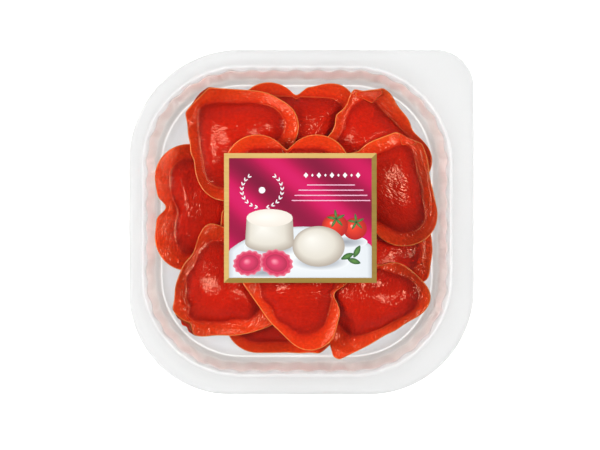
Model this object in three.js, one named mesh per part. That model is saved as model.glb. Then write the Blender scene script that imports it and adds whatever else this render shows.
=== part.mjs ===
// A sealed tray of fresh heart-shaped ravioli: a translucent thermoformed tray with a fluted wall,
// twelve filled hearts piled in it, a clear film sealed over its flange and a label on the film.
// Millimetres, +Z up. The tray lies flat, and the origin is the centre of its footprint on the table.

import * as THREE from 'three';

// ---------------------------------------------------------------- driving dimensions

// The tray, measured over its flange.
const TRAY_SIDE = 180;
const TRAY_HEIGHT = 44;
const SHEET = 0.8; // thickness of the plastic
const CORNER_RADII = { topRight: 20, topLeft: 58, bottomLeft: 53, bottomRight: 55 };
const LIP_DROP = 1.8; // the outer edge turns down by this much
const LIP_WIDTH = 2.4;

// The opening that the fluted wall hangs from. It sits a little off the flange's centre.
const OPENING = { x: -2.5, y: 0.6, half: 78, radius: 49 };
const FLUTES = 47;
const POINTS_PER_FLUTE = 4;
const FLUTE_DEPTH = 0.5; // half of the wave's height
const LEDGE_DROP = 0.9; // a narrow ledge steps down from the sealing face to the fluted edge
const LEDGE_WIDTH = 2.6;
const DRAFT = THREE.MathUtils.degToRad(5.5);
const FLOOR_CHAMFER = 3;

// The lid film and the label.
const LAYER_GAP = 0.1;
const FILM = { thickness: 0.3, setback: 0.8 };
const LABEL = { x: -0.6, y: 2.1, width: 79.6, depth: 67.6, thickness: 0.3 };

// A heart is two round lobes, a filleted notch and straight sides that run to the tip. Its own
// frame has the tip at the origin and +Y towards the notch.
const LOBE = { radius: 17.3, x: 15.5, y: 43 };
const NOTCH_RADIUS = 8;
const HEART_CENTRE_Y = 34;
const HEART_POINTS = 36;
// The pressed flange is two layers of dough, thinner towards the cut edge.
const DOUGH = { foot: 2.6, middle: 2.3, edge: 1.9 };
const FLANGE_WIDTH = 7.5;
const DOME_TIP_RADIUS = 4;
const DOME_HEIGHT = 11;
const FOLD = 1.3; // how much the folded tip adds to the flange
const FOLD_REACH = 6;

// Rings of the heart's mesh, as shares of the way from its centre to the foot of the dome.
const DOME_RINGS = [0.42, 0.72, 0.92];
const FLANGE_RING = 0.5; // one more ring half-way across the flange
const FOOT_RING = DOME_RINGS.length;
const EDGE_RING = FOOT_RING + 2;
const UNDERSIDE_RINGS = [1, FOOT_RING, EDGE_RING]; // the underside is flatter and needs fewer

// How the hearts lie on each other.
const CELL = 0.5; // the cells of the height map of the pile
const FIELD = 92; // its half width
const REST_GAP = 0.4;
const REACH = 4; // a point of the dough rests on whatever lies within this distance
const STIFFNESS = 70; // smoothing passes, the more the stiffer
const EASING = { passes: 3, sink: 0.8 }; // the last passes may sink a little, to round off kinks

// Each heart, in the order in which they were laid: where its tip is, the heading from the tip to
// the notch in degrees from +X, how much of the tip is folded over, and how its width and length
// compare with the usual heart's.
const HEARTS = [
  { tip: [-15.8, 7.8], heading: 180, fold: 6, width: 1.0, length: 1.0 },
  { tip: [18.2, -69.8], heading: 138, fold: 6, width: 1.0, length: 0.99 },
  { tip: [-3.4, 13.0], heading: 88, fold: 6, width: 0.98, length: 0.99 },
  { tip: [8.6, -1.6], heading: -37, fold: 6, width: 1.0, length: 0.98 },
  { tip: [-48.0, 1.0], heading: -5, fold: 6, width: 0.95, length: 0.98 },
  { tip: [-69.0, -58.0], heading: 38, fold: 10, width: 0.96, length: 1.0 },
  { tip: [17.5, -73.0], heading: 66, fold: 2, width: 0.99, length: 1.02 },
  { tip: [-62.4, 71.4], heading: -45, fold: 10, width: 1.02, length: 1.05 },
  { tip: [34.7, 76.2], heading: -86, fold: 8, width: 0.96, length: 1.0 },
  { tip: [59.8, 51.0], heading: -118, fold: 8, width: 1.0, length: 1.02 },
  { tip: [-35.7, -25.0], heading: -13, fold: 6, width: 1.01, length: 1.01 },
  { tip: [-7.6, -14.6], heading: 90, fold: 6, width: 1.0, length: 1.0 },
];

// ---------------------------------------------------------------- materials

const material = (color, roughness, extra = {}) =>
  new THREE.MeshStandardMaterial({ color, roughness, metalness: 0, ...extra });

const TRAY_PLASTIC = { color: '#f1f0ef', roughness: 0.35 };
const PASTA = { color: '#cc2a14', roughness: 0.3 };
const LID_FILM = { color: '#ffffff', roughness: 0.08 };
const LABEL_PRINT = { color: '#b3175f', roughness: 0.4 };

// ---------------------------------------------------------------- shared geometry

// One closed body from rings of equal length, from the middle of its top over the outer edge to the
// middle of its underside. Every ring runs counter-clockwise seen from above.
function closedSkin(topPole, rings, bottomPole) {
  const count = rings[0].length;
  const points = [topPole, ...rings.flat(), bottomPole];
  const last = points.length - 1;
  const at = (ring, i) => 1 + ring * count + (i % count);
  const faces = [];
  for (let i = 0; i < count; i++) {
    faces.push(0, at(0, i), at(0, i + 1));
    for (let ring = 0; ring + 1 < rings.length; ring++) {
      faces.push(at(ring, i), at(ring + 1, i), at(ring + 1, i + 1));
      faces.push(at(ring, i), at(ring + 1, i + 1), at(ring, i + 1));
    }
    faces.push(at(rings.length - 1, i + 1), at(rings.length - 1, i), last);
  }
  const geometry = new THREE.BufferGeometry().setFromPoints(points);
  geometry.setIndex(faces);
  geometry.computeVertexNormals();
  return geometry;
}

// How far a ray from an inner point goes before it meets a closed outline.
function castToOutline(outline, origin, direction) {
  let reach = 0;
  outline.forEach((a, i) => {
    const b = outline[(i + 1) % outline.length];
    const edge = new THREE.Vector2().subVectors(b, a);
    const toA = new THREE.Vector2().subVectors(a, origin);
    const denominator = direction.cross(edge);
    if (Math.abs(denominator) < 1e-9) return;
    const along = toA.cross(edge) / denominator;
    const share = toA.cross(direction) / denominator;
    if (along > 0 && share >= -1e-9 && share <= 1 + 1e-9) reach = Math.max(reach, along);
  });
  return reach;
}

// A rectangle about the origin with a radius of its own at each corner, counter-clockwise.
function roundedSquare(half, radii) {
  const path = new THREE.Shape();
  const corners = [
    [1, 1, radii.topRight, 0],
    [-1, 1, radii.topLeft, 90],
    [-1, -1, radii.bottomLeft, 180],
    [1, -1, radii.bottomRight, 270],
  ];
  for (const [sx, sy, radius, degrees] of corners) {
    const start = THREE.MathUtils.degToRad(degrees);
    path.absarc(sx * (half - radius), sy * (half - radius), radius, start, start + Math.PI / 2);
  }
  path.closePath();
  return path;
}

// The flange's outline, set in by some distance.
function flangeOutline(inset) {
  const radii = Object.fromEntries(
    Object.entries(CORNER_RADII).map(([corner, radius]) => [corner, radius - inset]),
  );
  return roundedSquare(TRAY_SIDE / 2 - inset, radii);
}

// ---------------------------------------------------------------- the tray

const LEDGE_Z = TRAY_HEIGHT - LEDGE_DROP;
const WALL_FOOT_Z = SHEET + FLOOR_CHAMFER;

// How far the wall has come in at some height.
const wallInset = (z) => (LEDGE_Z - z) * Math.tan(DRAFT);

// Points evenly spaced round the opening, each with its outward direction and the flute's wave.
function openingPoints() {
  const { half, radius, x, y } = OPENING;
  const straight = 2 * (half - radius);
  const quarter = (Math.PI / 2) * radius;
  const perimeter = 4 * (straight + quarter);
  const total = FLUTES * POINTS_PER_FLUTE;
  return Array.from({ length: total }, (_, i) => {
    const distance = (i / total) * perimeter;
    const side = Math.floor(distance / (straight + quarter));
    const along = distance - side * (straight + quarter);
    const turn = (side * Math.PI) / 2;
    const bend = along > straight ? (along - straight) / radius : 0;
    // On the right-hand side, from its lower end: up the straight, then round the corner.
    const local = new THREE.Vector2(half - radius, -(half - radius) + Math.min(along, straight));
    const normal = new THREE.Vector2(Math.cos(bend), Math.sin(bend));
    local.addScaledVector(normal, radius).rotateAround(new THREE.Vector2(), turn);
    return {
      position: local.add(new THREE.Vector2(x, y)),
      normal: normal.rotateAround(new THREE.Vector2(), turn),
      wave: Math.cos((2 * Math.PI * i) / POINTS_PER_FLUTE),
    };
  });
}

function trayGeometry() {
  const points = openingPoints();
  const middle = new THREE.Vector2(OPENING.x, OPENING.y);

  // A ring set off from the opening's edge, with or without its flutes.
  const wallRing = (offset, z, fluted) =>
    points.map(({ position, normal, wave }) => {
      const shift = offset + (fluted ? FLUTE_DEPTH * wave : 0);
      return new THREE.Vector3(position.x + normal.x * shift, position.y + normal.y * shift, z);
    });

  // A ring on the flange's outline, each point straight out from one of the opening.
  const flangeRing = (inset, z) => {
    const outline = flangeOutline(inset).getPoints(12);
    return points.map(({ position }) => {
      const direction = new THREE.Vector2().subVectors(position, middle).normalize();
      const reach = castToOutline(outline, middle, direction);
      return new THREE.Vector3(middle.x + direction.x * reach, middle.y + direction.y * reach, z);
    });
  };

  const foot = wallInset(WALL_FOOT_Z);
  const floorEdge = foot + FLOOR_CHAMFER;
  const stepTop = LEDGE_WIDTH + LEDGE_DROP;
  const edgeZ = TRAY_HEIGHT - LIP_DROP;
  return closedSkin(
    new THREE.Vector3(middle.x, middle.y, SHEET),
    [
      wallRing(-floorEdge, SHEET, false),
      wallRing(-foot, WALL_FOOT_Z, true),
      wallRing(0, LEDGE_Z, true),
      wallRing(LEDGE_WIDTH, LEDGE_Z, false),
      wallRing(stepTop, TRAY_HEIGHT, false),
      flangeRing(LIP_WIDTH, TRAY_HEIGHT),
      flangeRing(0, edgeZ),
      flangeRing(SHEET, edgeZ - SHEET / 4),
      flangeRing(LIP_WIDTH + SHEET / 2, TRAY_HEIGHT - SHEET),
      wallRing(stepTop + SHEET / 2, TRAY_HEIGHT - SHEET, false),
      wallRing(LEDGE_WIDTH + SHEET / 2, LEDGE_Z - SHEET, false),
      wallRing(SHEET, LEDGE_Z - SHEET, true),
      wallRing(SHEET - foot, WALL_FOOT_Z, true),
      wallRing(SHEET / 2 - floorEdge, 0, false),
    ],
    new THREE.Vector3(middle.x, middle.y, 0),
  );
}

// ---------------------------------------------------------------- one heart

const SIDE_ANGLE = Math.asin(LOBE.radius / Math.hypot(LOBE.x, LOBE.y)) + Math.atan2(LOBE.x, LOBE.y);

// The pressed edge: two lobes and a notch, with the tip cut straight where it is folded over.
function heartOutline(fold) {
  const notchRise = Math.sqrt((LOBE.radius + NOTCH_RADIUS) ** 2 - LOBE.x ** 2);
  const meet = Math.atan2(notchRise, -LOBE.x); // from the right lobe's centre to the fillet's
  const shape = new THREE.Shape();
  shape.moveTo(-fold * Math.tan(SIDE_ANGLE), fold);
  shape.lineTo(fold * Math.tan(SIDE_ANGLE), fold);
  shape.absarc(LOBE.x, LOBE.y, LOBE.radius, -SIDE_ANGLE, meet);
  shape.absarc(0, LOBE.y + notchRise, NOTCH_RADIUS, meet - Math.PI, -meet, true);
  shape.absarc(-LOBE.x, LOBE.y, LOBE.radius, Math.PI - meet, Math.PI + SIDE_ANGLE);
  shape.closePath();
  return shape;
}

// The foot of the dome: the sides run parallel to the edge, and its top is straight.
function domeOutline() {
  const lobe = LOBE.radius - FLANGE_WIDTH;
  const tipY = (FLANGE_WIDTH + DOME_TIP_RADIUS) / Math.sin(SIDE_ANGLE);
  const shape = new THREE.Shape();
  shape.absarc(0, tipY, DOME_TIP_RADIUS, Math.PI + SIDE_ANGLE, 2 * Math.PI - SIDE_ANGLE);
  shape.absarc(LOBE.x, LOBE.y, lobe, -SIDE_ANGLE, Math.PI / 2);
  shape.absarc(-LOBE.x, LOBE.y, lobe, Math.PI / 2, Math.PI + SIDE_ANGLE);
  shape.closePath();
  return shape;
}

// The dome's rise at some share of the way out from the centre: full, with a steep foot.
const domeRise = (share) => DOME_HEIGHT * (1 - Math.min(share, 1) ** 2.6) ** 0.75;

// The plan of one heart in the tray: rings of points from the centre to the edge, with the
// thickness of the food above the sheet of dough at each ring.
function heartPlan({ tip, heading, fold, width, length }) {
  const centre = new THREE.Vector2(0, HEART_CENTRE_Y);
  const edge = heartOutline(fold);
  const edgePoints = edge.getPoints(16);
  const domePoints = domeOutline().getPoints(16);
  const turn = THREE.MathUtils.degToRad(heading - 90);
  const stretch = new THREE.Vector2(width, length);
  const place = (local) =>
    local.clone().multiply(stretch).rotateAround(new THREE.Vector2(), turn).add(new THREE.Vector2(...tip));

  const spokes = edge.getSpacedPoints(HEART_POINTS).slice(0, HEART_POINTS).map((rim) => {
    const direction = new THREE.Vector2().subVectors(rim, centre).normalize();
    const edgeReach = castToOutline(edgePoints, centre, direction);
    const domeReach = castToOutline(domePoints, centre, direction);
    const flangeReach = THREE.MathUtils.lerp(domeReach, edgeReach, FLANGE_RING);
    return { direction, reaches: [...DOME_RINGS.map((s) => s * domeReach), domeReach, flangeReach, edgeReach] };
  });

  const onDome = DOME_RINGS.map((share) => DOUGH.foot + domeRise(share));
  const thicknesses = [...onDome, DOUGH.foot, DOUGH.middle, DOUGH.edge];
  const rings = thicknesses.map((thickness, ring) =>
    spokes.map(({ direction, reaches }) => {
      const local = centre.clone().addScaledVector(direction, reaches[ring]);
      const onFold = ring > FOOT_RING && local.y < fold + FOLD_REACH;
      return { position: place(local), thickness: thickness + (onFold ? FOLD : 0) };
    }),
  );
  return { rings, pole: { position: place(centre), thickness: DOUGH.foot + DOME_HEIGHT } };
}

// ---------------------------------------------------------------- the pile

// A height map of what already lies in the tray.
class Pile {
  constructor() {
    this.count = Math.ceil((2 * FIELD) / CELL);
    this.heights = new Float32Array(this.count * this.count);
  }

  index(value) {
    return Math.round((value + FIELD) / CELL);
  }

  // The highest food within some distance of a point.
  highest(x, y, reach) {
    const cells = Math.ceil(reach / CELL);
    const [ci, cj] = [this.index(x), this.index(y)];
    let height = 0;
    for (let j = cj - cells; j <= cj + cells; j++) {
      for (let i = ci - cells; i <= ci + cells; i++) {
        if (Math.hypot(i - ci, j - cj) <= cells) {
          height = Math.max(height, this.heights[j * this.count + i]);
        }
      }
    }
    return height;
  }

  // Calls visit(cell, x, y, z) for every cell under a triangle.
  scan(a, b, c, visit) {
    const area = (b.x - a.x) * (c.y - a.y) - (c.x - a.x) * (b.y - a.y);
    if (Math.abs(area) < 1e-9) return;
    const lowI = this.index(Math.min(a.x, b.x, c.x)) - 1;
    const highI = this.index(Math.max(a.x, b.x, c.x)) + 1;
    const lowJ = this.index(Math.min(a.y, b.y, c.y)) - 1;
    const highJ = this.index(Math.max(a.y, b.y, c.y)) + 1;
    for (let j = lowJ; j <= highJ; j++) {
      for (let i = lowI; i <= highI; i++) {
        const [x, y] = [i * CELL - FIELD, j * CELL - FIELD];
        const wb = ((x - a.x) * (c.y - a.y) - (c.x - a.x) * (y - a.y)) / area;
        const wc = ((b.x - a.x) * (y - a.y) - (x - a.x) * (b.y - a.y)) / area;
        if (wb >= 0 && wc >= 0 && wb + wc <= 1) {
          visit(j * this.count + i, x, y, a.z + wb * (b.z - a.z) + wc * (c.z - a.z));
        }
      }
    }
  }
}

// The tray's own height at a point, its wall kept clear by the flutes' depth.
function trayHeight(x, y) {
  const dx = Math.max(Math.abs(x - OPENING.x) - (OPENING.half - OPENING.radius), 0);
  const dy = Math.max(Math.abs(y - OPENING.y) - (OPENING.half - OPENING.radius), 0);
  const inset = OPENING.radius - Math.hypot(dx, dy) - FLUTE_DEPTH - REST_GAP;
  const onWall = LEDGE_Z - inset / Math.tan(DRAFT);
  const onChamfer = WALL_FOOT_Z - (inset - wallInset(WALL_FOOT_Z));
  return Math.max(SHEET, onChamfer, onWall);
}

// Triangles of a fan of rings round a pole, for looking under or over one face of a heart.
function facesOf(pole, rings, visit) {
  const count = rings[0].length;
  for (let i = 0; i < count; i++) {
    const next = (i + 1) % count;
    visit(pole, rings[0][i], rings[0][next]);
    for (let ring = 0; ring + 1 < rings.length; ring++) {
      visit(rings[ring][i], rings[ring + 1][i], rings[ring + 1][next]);
      visit(rings[ring][i], rings[ring + 1][next], rings[ring][next]);
    }
  }
}

// Lets a sheet of dough settle on the pile. Returns the height of its underside at every point.
function settle(plan, pile) {
  const floorAt = ({ position: { x, y } }) =>
    REST_GAP + Math.max(pile.highest(x, y, REACH), trayHeight(x, y));
  const floors = plan.rings.map((ring) => ring.map(floorAt));
  const poleFloor = floorAt(plan.pole);
  let heights = floors.map((ring) => [...ring]);
  let poleHeight = poleFloor;

  const smoothed = () => heights.map((ring, r) =>
    ring.map((_, i) => {
      const before = ring[(i + ring.length - 1) % ring.length];
      const after = ring[(i + 1) % ring.length];
      const inner = r > 0 ? heights[r - 1][i] : poleHeight;
      const outer = r + 1 < heights.length ? heights[r + 1][i] : inner;
      return (before + after + inner + outer) / 4;
    }),
  );
  const mean = (ring) => ring.reduce((sum, h) => sum + h, 0) / ring.length;
  for (let pass = 0; pass < STIFFNESS + EASING.passes; pass++) {
    const sink = pass < STIFFNESS ? 0 : EASING.sink;
    heights = smoothed().map((ring, r) => ring.map((h, i) => Math.max(h, floors[r][i] - sink)));
    poleHeight = Math.max(mean(heights[0]), poleFloor - sink);
  }

  // Lift the whole heart until its underside clears everything below it.
  const at = ({ position }, h) => new THREE.Vector3(position.x, position.y, h);
  const under = plan.rings.map((ring, r) => ring.map((point, i) => at(point, heights[r][i])));
  const underPole = at(plan.pole, poleHeight);
  let lift = -Infinity;
  facesOf(underPole, UNDERSIDE_RINGS.map((r) => under[r]), (a, b, c) => {
    pile.scan(a, b, c, (cell, x, y, z) => {
      lift = Math.max(lift, Math.max(pile.heights[cell], trayHeight(x, y)) + REST_GAP - z);
    });
  });
  for (const point of [underPole, ...under.flat()]) point.z += lift;
  return { under, underPole };
}

// Lays one heart on the pile and returns its solid.
function layHeart(heart, pile) {
  const plan = heartPlan(heart);
  const { under, underPole } = settle(plan, pile);
  const raised = (point, thickness) => new THREE.Vector3(point.x, point.y, point.z + thickness);
  const over = under.map((ring, r) => ring.map((point, i) => raised(point, plan.rings[r][i].thickness)));
  const overPole = raised(underPole, plan.pole.thickness);
  facesOf(overPole, over, (a, b, c) => {
    pile.scan(a, b, c, (cell, x, y, z) => {
      pile.heights[cell] = Math.max(pile.heights[cell], z);
    });
  });
  return closedSkin(
    overPole,
    [...over, ...UNDERSIDE_RINGS.toReversed().map((r) => under[r])],
    underPole,
  );
}

// ---------------------------------------------------------------- film and label

function filmGeometry() {
  const outline = flangeOutline(FILM.setback);
  return new THREE.ExtrudeGeometry(outline, {
    depth: FILM.thickness,
    bevelEnabled: false,
    curveSegments: 14,
  });
}

// ---------------------------------------------------------------- the pack

const pack = new THREE.Group();

const tray = new THREE.Mesh(trayGeometry(), material(TRAY_PLASTIC.color, TRAY_PLASTIC.roughness));
tray.name = 'tray';
pack.add(tray);

const pasta = new THREE.Group();
const pile = new Pile();
HEARTS.forEach((heart, i) => {
  const raviolo = new THREE.Mesh(layHeart(heart, pile), material(PASTA.color, PASTA.roughness));
  raviolo.name = `raviolo_${String(i + 1).padStart(2, '0')}`;
  pasta.add(raviolo);
});
pack.add(pasta);

const lid = new THREE.Group();
lid.position.z = TRAY_HEIGHT + LAYER_GAP;
const film = new THREE.Mesh(
  filmGeometry(),
  material(LID_FILM.color, LID_FILM.roughness, { transparent: true, opacity: 0.15 }),
);
film.name = 'lid_film';
const label = new THREE.Mesh(
  new THREE.BoxGeometry(LABEL.width, LABEL.depth, LABEL.thickness),
  material(LABEL_PRINT.color, LABEL_PRINT.roughness),
);
label.name = 'label';
label.position.set(LABEL.x, LABEL.y, FILM.thickness + LAYER_GAP + LABEL.thickness / 2);
lid.add(film, label);
pack.add(lid);

export default pack;
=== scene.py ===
# A sealed tray of heart-shaped ravioli, seen from straight above on a white floor.
# Every size is in millimetres until it goes into a mesh, which is in metres.
from math import asin, atan2, cos, hypot, log, pi, radians, sin, sqrt, tan, tau

import bpy
import numpy as np
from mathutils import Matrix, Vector
from mathutils.bvhtree import BVHTree


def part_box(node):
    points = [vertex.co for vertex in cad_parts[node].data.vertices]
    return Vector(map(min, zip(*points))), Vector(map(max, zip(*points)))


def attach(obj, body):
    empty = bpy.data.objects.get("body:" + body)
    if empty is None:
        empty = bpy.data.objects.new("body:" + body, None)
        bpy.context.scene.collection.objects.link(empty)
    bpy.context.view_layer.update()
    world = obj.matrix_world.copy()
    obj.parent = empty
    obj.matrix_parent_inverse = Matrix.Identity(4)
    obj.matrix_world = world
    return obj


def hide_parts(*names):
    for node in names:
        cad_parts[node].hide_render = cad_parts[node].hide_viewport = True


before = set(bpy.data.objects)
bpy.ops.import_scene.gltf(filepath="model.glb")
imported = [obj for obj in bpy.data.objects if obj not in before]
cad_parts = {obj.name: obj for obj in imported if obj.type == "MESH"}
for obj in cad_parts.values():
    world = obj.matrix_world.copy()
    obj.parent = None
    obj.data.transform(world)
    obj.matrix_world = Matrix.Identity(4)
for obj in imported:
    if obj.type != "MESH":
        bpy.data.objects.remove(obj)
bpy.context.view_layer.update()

MM = 0.001


def node_box(name):
    """The lowest and highest corners of a CAD node, in millimetres."""
    return [np.array(corner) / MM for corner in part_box(name)]


# ---- driving dimensions

TRAY_LOW, TRAY_HIGH = node_box("tray")
LABEL_LOW, LABEL_HIGH = node_box("label")

# The tray: its flange, the opening that the fluted wall hangs from, and the bend at the wall's foot.
TRAY_SIDE = TRAY_HIGH[0] - TRAY_LOW[0]
TRAY_HEIGHT = TRAY_HIGH[2]
SHEET = 0.8  # thickness of the plastic
CORNER_RADII = (20, 58, 53, 55)  # from +X +Y, counter-clockwise
OPENING_CENTRE = np.array([-2.5, 0.6])
OPENING_HALF = 78
OPENING_RADIUS = 49
FLUTES = 47
POINTS_PER_FLUTE = 14
FLUTE_DEPTH = 0.5
LEDGE_DROP = 0.9
LEDGE_WIDTH = 2.6
DRAFT = radians(5.5)  # how far the wall leans outwards
FOOT_BEND = 3
LIP_DROP = 1.8
LIP_WIDTH = 2.4
BEAD = 0.45  # round the top of the wall
FLOOR_RING = 0.12  # how far a shallow ring rises from the floor
FLANGE_SAG = 0.25
PUSH_UP = 0.3  # the hollow of the underside

# Where each part of the tray lies in its colour ramp. The ramp paints the one white plastic lighter or
# darker by part: painted light on the ledge, the top of the bead and the wall, and painted shade on
# the bead's inner side and at the wall's foot.
AT_FLANGE, AT_LEDGE_LIGHT, AT_BEAD_SHADE, AT_FLOOR, AT_FOOT_SHADE, AT_WALL_LIGHT = 0.0, 0.4, 0.5, 0.7, 0.85, 1.0

# A heart, in its own frame: the tip at the origin and +Y towards the notch.
LOBE_RADIUS = 17.3
LOBE_X = 15.5
LOBE_Y = 43
NOTCH_RADIUS = 4
HEART_CENTRE = np.array([0.0, 34.0])
DOUGH_FOOT = 2.6
DOUGH_EDGE = 1.9
FLANGE_WIDTH = 7.5
NARROWEST_FLANGE = 2.5
DOME_TIP_RADIUS = 4
DOME_HEIGHT = 11
DOME_FULLNESS = 2.6
FOLD_THICKNESS = 1.3
FOLD_REACH = 6
FOLD_BLEND = 4

# The fine shape of a heart: how its dome runs out into the flange, and a fine ridge that the mould
# leaves just outside the foot.
SPOKES = 320
DOME_RINGS = 40
FLANGE_RINGS = 26
EDGE_ROUND = 0.65
FOOT_BLEND = 0.9
GROOVE = 0.35
GROOVE_SPREAD = 1.3
RIDGE = 0.03
RIDGE_AT = 0.5
RIDGE_SPREAD = 0.32
CURL = 0.5
CURL_WAVER = 0.25
UNEVENNESS = ((0.16, 7, 26, 0), (0.04, 2.2, 5, 30))  # size, shortest and longest wave, seed
PLATE_SOFTNESS = 6.0
FLAP_THICKNESS = 1.6
ZONE_SPAN = 2.6  # the dough's colour ramp ends at this zone
GRAIN_APART = 40.0  # each heart shows another slice of the grain
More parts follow.
